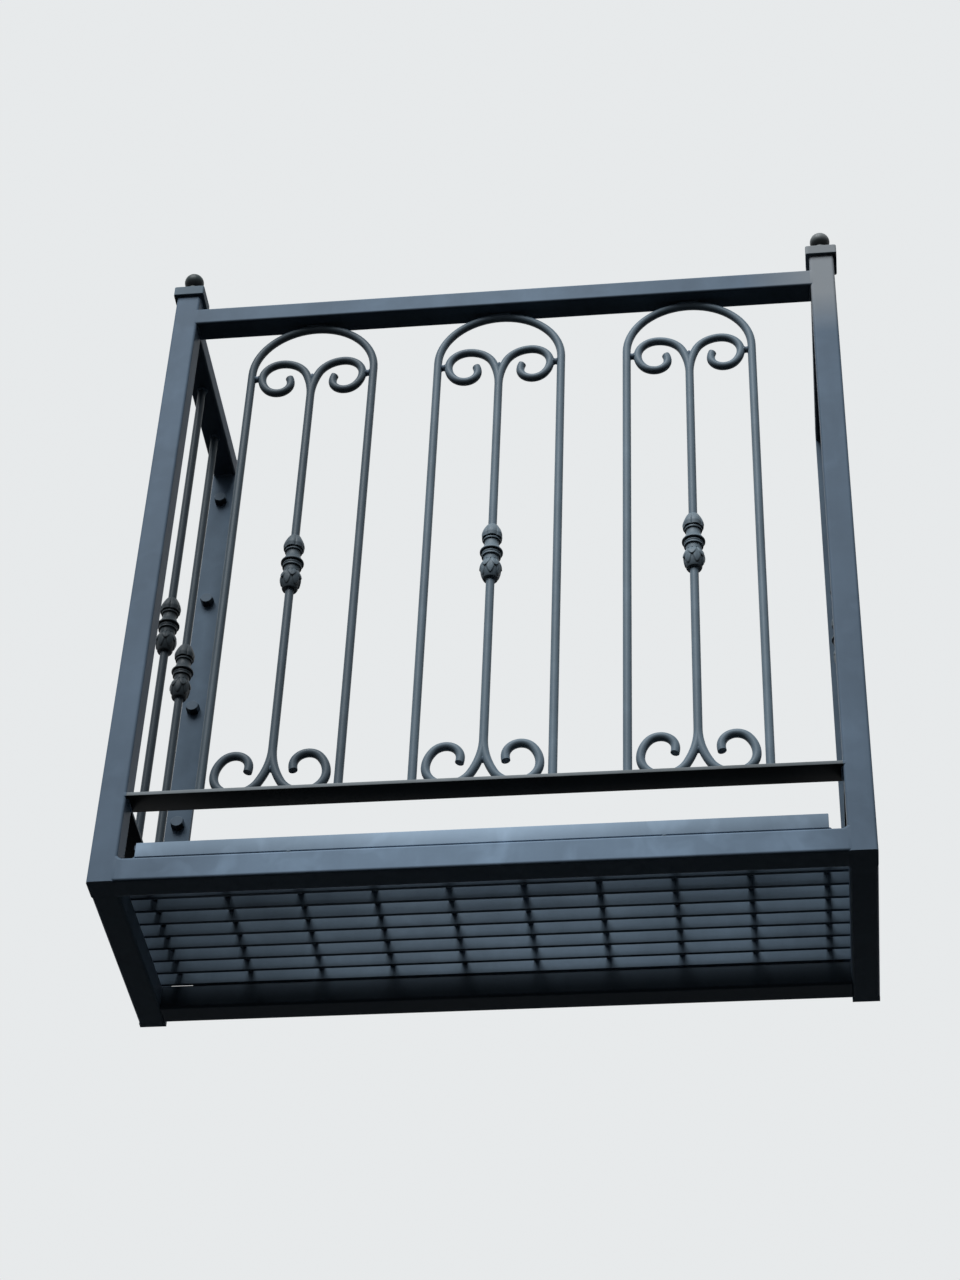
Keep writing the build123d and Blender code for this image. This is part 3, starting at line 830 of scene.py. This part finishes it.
# %% Floor grating
GRATING_BARS, GRATING_SHORT_BARS = 11, 2
BAR_PITCH, BAR_THICKNESS, BAR_HEIGHT, BAR_EDGE = 0.03016, 0.0048, 0.0254, 0.0006
FIRST_BAR = -0.3492
FRONT_BAR_FORWARD, FRONT_BAR_LIFT, FRONT_BAR_CUT = 0.0026, 0.0002, 0.0020
CENTRE, LONG_HALF, SHORT_HALF = 0.508, 0.52305, 0.4652
ROD_COUNT, ROD_PITCH, ROD_SHIFT = 10, 0.1028, -0.0020
ROD_HALF, ROD_EDGE, ROD_DROP, ROD_TWIST, ROD_ROWS = 0.0036, 0.0005, 0.0050, 0.100, 121
UPSET_SIZE = (0.0066, 0.0044, 0.0046)
LUMP_POLE = 0.25


def rounded_rectangle(half_width, half_height, radius, per_corner=4):
    """Points of a rounded rectangle, anticlockwise, as two arrays."""
    turn = np.linspace(0, np.pi / 2, per_corner)
    across, along = [], []
    for k, (sx, sy) in enumerate(((1, 1), (-1, 1), (-1, -1), (1, -1))):
        across.append(sx * (half_width - radius) + radius * np.cos(turn + k * np.pi / 2))
        along.append(sy * (half_height - radius) + radius * np.sin(turn + k * np.pi / 2))
    return np.concatenate(across), np.concatenate(along)


def bar_along_x(x0, x1, y, z, thickness, tall, edge):
    """A rounded rectangle in the YZ plane carried from x0 to x1, its end edges eased by the same radius."""
    stations = np.array([x0, x0 + edge, x1 - edge, x1])
    shrink = np.array([edge, 0.0, 0.0, edge])
    across, along = rounded_rectangle(thickness / 2, tall / 2, edge)
    scale_y = 1 - shrink[:, None] / (thickness / 2)
    scale_z = 1 - shrink[:, None] / (tall / 2)
    ring_x = np.broadcast_to(stations[:, None], (4, len(across)))
    return skin(np.stack([ring_x, y + across * scale_y, z + along * scale_z], axis=-1))


def twisted_rod(x, y0, y1, z):
    """A square of half side ROD_HALF, turned by 2 pi / ROD_TWIST per metre, carried from y1 back to y0."""
    y = np.linspace(y1, y0, ROD_ROWS)
    across, along = rounded_rectangle(ROD_HALF, ROD_HALF, ROD_EDGE, 3)
    turn = (2 * np.pi / ROD_TWIST) * (y - y0)[:, None]
    ring_x = x + across * np.cos(turn) - along * np.sin(turn)
    ring_z = z + across * np.sin(turn) + along * np.cos(turn)
    ring_y = np.broadcast_to(y[:, None], ring_x.shape)
    return skin(np.stack([ring_x, ring_y, ring_z], axis=-1))


def lump(centre, size, rows=7, columns=10):
    """An ellipsoid with half axes size, as rings upwards, cut flat LUMP_POLE radians short of its poles."""
    rise = np.linspace(LUMP_POLE - np.pi / 2, np.pi / 2 - LUMP_POLE, rows)[:, None]
    angle = around(columns)[None, :]
    ring_x = centre[0] + size[0] * np.cos(rise) * np.cos(angle)
    ring_y = centre[1] + size[1] * np.cos(rise) * np.sin(angle)
    ring_z = centre[2] + size[2] * np.sin(rise) * np.ones_like(angle)
    return skin(np.stack([ring_x, ring_y, ring_z], axis=-1))


def bearing_bar(y, half, lift=0.0, cut=0.0):
    """One bar on edge along X, centred between the posts, made lower by cut and raised by lift."""
    tall = BAR_HEIGHT - cut
    return bar_along_x(CENTRE - half, CENTRE + half, y, BAR_HEIGHT / 2 + lift, BAR_THICKNESS, tall, BAR_EDGE)


bar_lines = FIRST_BAR + np.arange(GRATING_BARS) * BAR_PITCH
bar_halves = np.where(np.arange(GRATING_BARS) < GRATING_SHORT_BARS, SHORT_HALF, LONG_HALF)
rod_lines = CENTRE + ROD_SHIFT + (np.arange(ROD_COUNT) - (ROD_COUNT - 1) / 2) * ROD_PITCH
rod_level = BAR_HEIGHT - ROD_DROP
bars = [bearing_bar(y, half) for y, half in zip(bar_lines[1:], bar_halves[1:])]
front_bar = bearing_bar(bar_lines[0] - FRONT_BAR_FORWARD, SHORT_HALF, FRONT_BAR_LIFT, FRONT_BAR_CUT)
piece("grating_bars", bars, grating_coat, replaces=["floor_grating"])
piece("grating_front_bar", [front_bar], front_bar_lit_coat)
rods = [twisted_rod(x, bar_lines[0], bar_lines[-1], rod_level) for x in rod_lines]
rods += [lump((x, y, rod_level), UPSET_SIZE) for x in rod_lines for y in bar_lines[1:]]
piece("grating_rods", rods, grating_coat, smooth_below=30)

# %% [markdown]
# The lower rails are flat bar on the flat. Each is the same eased bar, carried along X in front and along Y
# at the sides, with rolled edges that catch a thin line of light. Their coat is a paler copy of the frame's,
# a painted highlight, and near black underneath, which is painted shade.

# %% Lower rails
RAIL_EDGE = 0.0009


def flat_bar(node, along_y):
    """A rounded rectangle that fills the node's box, carried along X, or along Y when along_y is true."""
    low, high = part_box(node)
    middle, half = (low + high) / 2, (high - low) / 2
    if not along_y:
        return bar_along_x(low.x, high.x, middle.y, middle.z, 2 * half.y, 2 * half.z, RAIL_EDGE)
    points, quads, fans = bar_along_x(low.y, high.y, 0.0, middle.z, 2 * half.x, 2 * half.z, RAIL_EDGE)
    turned = np.stack([middle.x - points[:, 1], points[:, 0], points[:, 2]], axis=-1)
    return turned, quads, fans


for side in ("front", "left", "right"):
    node = "lower_rail_" + side
    piece(node + "_bar", [flat_bar(node, side != "front")], lower_rail_lit_coat, replaces=[node])

# %% [markdown]
# A weld bead is a half-sunk cord of metal laid in overlapping puddles. Here it is an oval carried along a
# path, whose size swells and drops once per puddle: size x (1 + ripple x |sin|). Round feet get a closed ring
# of it, and straight joints get a length that tapers to nothing at both ends.

# %% Weld beads
PUDDLE, RIPPLE = 0.0017, 0.16
TAPER_WIDTHS, THIN_END = 1.6, 0.02
RING_PUDDLE, RING_OUT = 1.4, 0.15
UP = (0, 0, 1)


def bead(path, reference, wide, tall, columns=10):
    """An oval carried along an open path. Reference is a direction that the oval's tall axis keeps to."""
    path = np.asarray(path, dtype=float)
    length = np.concatenate([[0], np.cumsum(np.linalg.norm(np.diff(path, axis=0), axis=1))])
    count = max(8, int(length[-1] / (PUDDLE / 4)))
    even = np.linspace(0, length[-1], count)
    line = np.stack([np.interp(even, length, path[:, k]) for k in range(3)], axis=-1)
    tangent = np.gradient(line, axis=0)
    tangent /= np.linalg.norm(tangent, axis=1, keepdims=True)
    side = np.cross(tangent, np.asarray(reference, dtype=float))
    side /= np.linalg.norm(side, axis=1, keepdims=True)
    above = np.cross(side, tangent)
    share = even / length[-1]
    to_end = np.minimum(share, 1 - share) * length[-1]
    taper = np.clip(to_end / (TAPER_WIDTHS * wide), THIN_END, 1.0) ** 0.5
    swell = (1 + RIPPLE * np.abs(np.sin(np.pi * even / PUDDLE))) * taper
    angle = around(columns)
    oval_side = (wide * swell)[:, None] * np.cos(angle)
    oval_up = (tall * swell)[:, None] * np.sin(angle)
    rings = line[:, None] + oval_side[..., None] * side[:, None] + oval_up[..., None] * above[:, None]
    return skin(rings[:, ::-1])


def ring_bead(x, y, z, bar_radius, size, columns=8, rows=60):
    """A closed ring of bead round an upright bar: the oval's centre runs on a circle just outside the bar."""
    turn = around(rows)[:, None]
    angle = around(columns)[None, :]
    puddles = round(2 * np.pi * bar_radius / PUDDLE / RING_PUDDLE)
    swell = size * (1 + RIPPLE * np.abs(np.sin(turn * puddles / 2)))
    reach = bar_radius + RING_OUT * size + swell * np.cos(angle)
    ring_x = x + reach * np.cos(turn)
    ring_y = y + reach * np.sin(turn)
    ring_z = z + swell * np.sin(angle) * np.ones_like(turn)
    return loop_skin(np.stack([ring_x, ring_y, ring_z], axis=-1)[:, ::-1])


print("puddles", round(PUDDLE * 1000, 1), "mm apart")

# %% [markdown]
# The legs of the arches and the bars at the sides are welded all round where they meet a rail. The arches
# bend over under the top rail, and their crowns are welded to it along both sides. The solids say where the
# bars and rails are, so the beads are placed from the solids' boxes.

# %% Bar welds
BAR_RADIUS, ARCH_HALF = 0.00635, 0.0968
BAR_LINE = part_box("stem_middle")[0].y + BAR_RADIUS
RAIL_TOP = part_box("lower_rail_front")[1].z
RAIL_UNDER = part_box("top_rail_front")[0].z
FOOT_BEAD, FOOT_LIFT = 0.0021, 0.0004
CROWN_BEAD, CROWN_HALF, CROWN_DROP = (0.0021, 0.0017), 0.017, 0.0009
BESIDE_BAR = 0.0036


def beads_beside(x, half, z, size):
    """Two beads along X, in front of and behind the line of the bars."""
    lines = (BAR_LINE - BESIDE_BAR, BAR_LINE + BESIDE_BAR)
    return [bead([(x - half, y, z), (x + half, y, z)], UP, *size) for y in lines]


motif_lines = [middle_of("stem_" + place).x for place in ("left", "middle", "right")]
side_bars = [name for name in nodes if name.startswith("side_bar")]
bar_welds = []
for x in motif_lines:
    for leg in (x - ARCH_HALF, x + ARCH_HALF):
        bar_welds.append(ring_bead(leg, BAR_LINE, RAIL_TOP + FOOT_LIFT, BAR_RADIUS, FOOT_BEAD))
    bar_welds += beads_beside(x, CROWN_HALF, RAIL_UNDER - CROWN_DROP, CROWN_BEAD)
for name in side_bars:
    foot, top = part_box(name)
    x, y, _ = middle_of(name)
    for z in (foot.z + FOOT_LIFT, top.z - FOOT_LIFT):
        bar_welds.append(ring_bead(x, y, z, BAR_RADIUS, FOOT_BEAD))
print(len(bar_welds), "beads at the bars' ends")

# %% [markdown]
# The scrolls are held by small welds only. Each fork has a fillet of weld in its crotch, each lower scroll is
# tacked to the rail that it rests on, and each upper scroll reaches its arch through a short thick weld.

# %% Scroll welds
CROTCHES = ((0.9441, (0.0034, 0.0050, 0.0070)), (0.1603, (0.0034, 0.0050, 0.0060)))
LOWER_REST, REST_BEAD, REST_HALF, REST_LIFT = 0.0480, (0.0020, 0.0016), 0.010, 0.0009
TAB_HEIGHT, TAB_INNER, TAB_OUTER = 0.9462, 0.0852, 0.0912
TAB_WAIST, TAB_FLARE, TAB_RIPPLE, TAB_COLUMNS = 0.0049, 0.0011, 0.03, 20


def tab_weld(x, hand):
    """A short waisted barrel along X between a scroll and its arch's leg."""
    along = np.linspace(TAB_INNER, TAB_OUTER, 15)
    middle = (TAB_INNER + TAB_OUTER) / 2
    waist = TAB_WAIST + TAB_FLARE * (np.abs(along - middle) / (middle - TAB_INNER)) ** 2
    waist = waist * (1 + TAB_RIPPLE * np.sin(along / PUDDLE * 2 * np.pi))
    angle = around(TAB_COLUMNS)
    ring_x = np.broadcast_to((x + hand * along)[:, None], (len(along), TAB_COLUMNS))
    ring_y = BAR_LINE + waist[:, None] * np.cos(angle * hand)
    ring_z = TAB_HEIGHT + waist[:, None] * np.sin(angle * hand)
    return skin(np.stack([ring_x, ring_y, ring_z], axis=-1))


for x in motif_lines:
    bar_welds += [lump((x, BAR_LINE, height), size, 12, 18) for height, size in CROTCHES]
    for hand in (-1, 1):
        bar_welds.append(tab_weld(x, hand))
        bar_welds += beads_beside(x + hand * LOWER_REST, REST_HALF, RAIL_TOP + REST_LIFT, REST_BEAD)
piece("bar_welds", bar_welds, weld_coat, smooth_below=60)

# %% [markdown]
# The tubes are welded and ground flush where they meet the posts, so the front reads as one flat face. The
# posts have rounded corners, and the weld fills the groove that they leave beside each joint. The fill is the
# tube's own outline, carried on into the post by the corner's radius and a hair proud, as a ground weld is.
# In the corner between post and front tube a sloping fillet is left, and it follows the rounding of both
# tubes at its ends.

# %% Ground welds and fillets
POST_HALF, POST_CORNER, TUBE_CORNER = 0.01905, 0.004, 0.004
PROUD, OVERLAP = 0.00003, 0.0003
FILLET_WIDE, FILLET_TALL, FILLET_SAG, FILLET_ROOT = 0.0068, 0.0050, 0.0004, 0.0030


def outline_along_x(x0, x1, y, z0, z1, corner):
    """A tube's outline about the line y, a hair proud, carried from x0 to x1."""
    across, along = rounded_rectangle(POST_HALF + PROUD, (z1 - z0) / 2 + PROUD, corner, 9)
    ring_x = np.broadcast_to(np.array([x0, x1])[:, None], (2, len(across)))
    ring_y = np.broadcast_to(y + across, ring_x.shape)
    ring_z = np.broadcast_to((z0 + z1) / 2 + along, ring_x.shape)
    return skin(np.stack([ring_x, ring_y, ring_z], axis=-1))


def outline_along_y(x, y0, y1, z0, z1, corner):
    """The same outline about the line x, carried from y0 to y1."""
    points, quads, fans = outline_along_x(y0, y1, 0.0, z0, z1, corner)
    return np.stack([x - points[:, 1], points[:, 0], points[:, 2]], axis=-1), quads, fans


def corner_fillet(x, z, inward, y0, y1):
    """A corner's triangle whose slope sags by FILLET_SAG x sin, carried along Y. Near both ends it sinks into
    the corner by c - sqrt(c^2 - (c - depth)^2), as tube corners of radius c do."""
    share = np.linspace(0, 1, 9)
    sag = FILLET_SAG * np.sin(np.pi * share)
    out = np.concatenate([[-FILLET_ROOT, FILLET_WIDE], FILLET_WIDE * (1 - share) - sag, [-FILLET_ROOT]])
    above = np.concatenate([[-FILLET_ROOT, -FILLET_ROOT], FILLET_TALL * share - sag, [FILLET_TALL]])
    rounding = TUBE_CORNER * (1 - np.cos(np.linspace(0, np.pi / 2, 9)))
    y = np.concatenate([y0 + rounding, y1 - rounding[::-1]])
    y[0] += PROUD
    y[-1] -= PROUD
    short = np.clip(TUBE_CORNER - np.minimum(y - y0, y1 - y), 0.0, TUBE_CORNER)
    sink = (TUBE_CORNER - np.sqrt(TUBE_CORNER**2 - short**2))[:, None]
    ring_x = x + inward * (out - sink)
    ring_y = np.broadcast_to(y[:, None], ring_x.shape)
    rings = np.stack([ring_x, ring_y, z + above - sink], axis=-1)
    return skin(rings if inward < 0 else rings[:, ::-1])


print("fillets", FILLET_WIDE * 1000, "mm wide and", FILLET_TALL * 1000, "mm tall")

# %% [markdown]
# Three levels of tube and bar meet each post, and each of them gets the same welds by one loop. The corners
# that a grinder can't reach keep a small bead, except under the base, which is ground too.

# %% Frame welds
FRONT_LINE, BASE_UNDER, BASE_TOP = -0.33655, -0.0381, 0.0
POST_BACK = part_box("post_left")[1].y
POST_BEAD, POST_BEAD_FRONT, POST_BEAD_BACK = (0.0024, 0.0018), 0.004, 0.003
SIDE_BEAD, SIDE_BEAD_HALF, BEAD_OFF = (0.0017, 0.0013), 0.0150, 0.0006
LEVELS = (
    (BASE_UNDER, BASE_TOP, TUBE_CORNER),
    (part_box("lower_rail_front")[0].z, RAIL_TOP, RAIL_EDGE),
    (RAIL_UNDER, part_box("top_rail_front")[1].z, TUBE_CORNER),
)

fills = []
beads = []
front, back = FRONT_LINE - POST_HALF, POST_BACK
for post_x, inward in ((0.0, 1), (2 * CENTRE, -1)):
    inner = post_x + inward * POST_HALF
    bead_x = inner + inward * BEAD_OFF
    joint = sorted((inner - inward * POST_CORNER, inner + inward * OVERLAP))
    for z0, z1, corner in LEVELS:
        fills.append(outline_along_x(*joint, FRONT_LINE, z0, z1, corner))
        fills.append(outline_along_y(post_x, back - POST_CORNER, back + OVERLAP, z0, z1, corner))
        if z1 == BASE_TOP:
            fills.append(corner_fillet(inner, z1, inward, front, back))
        for z in (z0 - BEAD_OFF, z1 + BEAD_OFF):
            if z < BASE_UNDER:
                continue
            if z > BASE_TOP + BEAD_OFF:
                run = [(bead_x, front + POST_BEAD_FRONT, z), (bead_x, back - POST_BEAD_BACK, z)]
                beads.append(bead(run, (inward, 0, 1), *POST_BEAD))
            for y in (back + BEAD_OFF, PLATE_FACE - BEAD_OFF):
                run = [(post_x - SIDE_BEAD_HALF, y, z), (post_x + SIDE_BEAD_HALF, y, z)]
                beads.append(bead(run, UP, *SIDE_BEAD))
piece("flush_welds", fills, frame_coat, smooth_below=30)
piece("frame_welds", beads, weld_coat, smooth_below=60)

# %% [markdown]
# The grating is tacked to the side tubes with short beads beside the ends of its bars. The two short bars in
# front are tacked at their ends, and the first of them to the front tube twice between. The last bar has a
# long bead to the back tube, which leaves a thin slit of daylight open at the left.

# %% Grating welds
BEAD_COLUMNS = 8
END_LUMP, END_LUMP_OUT, END_LUMP_LIFT = (0.0032, 0.0030, 0.0028), 0.0004, 0.0016
END_BEAD, END_BEAD_IN, END_BEAD_LENGTH, END_BEAD_OFF = (0.0017, 0.0017), 0.004, 0.018, 0.0004
FRONT_TACKS, FRONT_TACK_SIZE = (0.254, 0.757), (0.0042, 0.0016, 0.0022)
FRONT_TACK_FORWARD, FRONT_TACK_DROP = 0.0048, 0.0012
SEAM_BEAD, SEAM_START, SEAM_END, SEAM_DROP = (0.0020, 0.0016), 0.063, 0.996, 0.0004

tacks = []
for y, half in zip(bar_lines, bar_halves):
    for hand in (-1, 1):
        if half == SHORT_HALF:
            end = CENTRE + hand * (half + END_LUMP_OUT)
            tacks.append(lump((end, y, END_LUMP_LIFT), END_LUMP, 8, 12))
            continue
        start = CENTRE + hand * (half - END_BEAD_IN)
        for beside in (y - BAR_THICKNESS / 2 - END_BEAD_OFF, y + BAR_THICKNESS / 2 + END_BEAD_OFF):
            run = [(x, beside, END_BEAD_OFF) for x in (start, start - hand * END_BEAD_LENGTH)]
            tacks.append(bead(run, UP, *END_BEAD, BEAD_COLUMNS))
for x in FRONT_TACKS:
    tacks.append(lump((x, bar_lines[0] - FRONT_TACK_FORWARD, -FRONT_TACK_DROP), FRONT_TACK_SIZE, 8, 12))
back_seam = bar_lines[-1] + BAR_THICKNESS / 2
seam_run = [(x, back_seam, -SEAM_DROP) for x in (SEAM_START, SEAM_END)]
tacks.append(bead(seam_run, UP, *SEAM_BEAD, BEAD_COLUMNS))
piece("grating_welds", tacks, weld_coat, smooth_below=60)
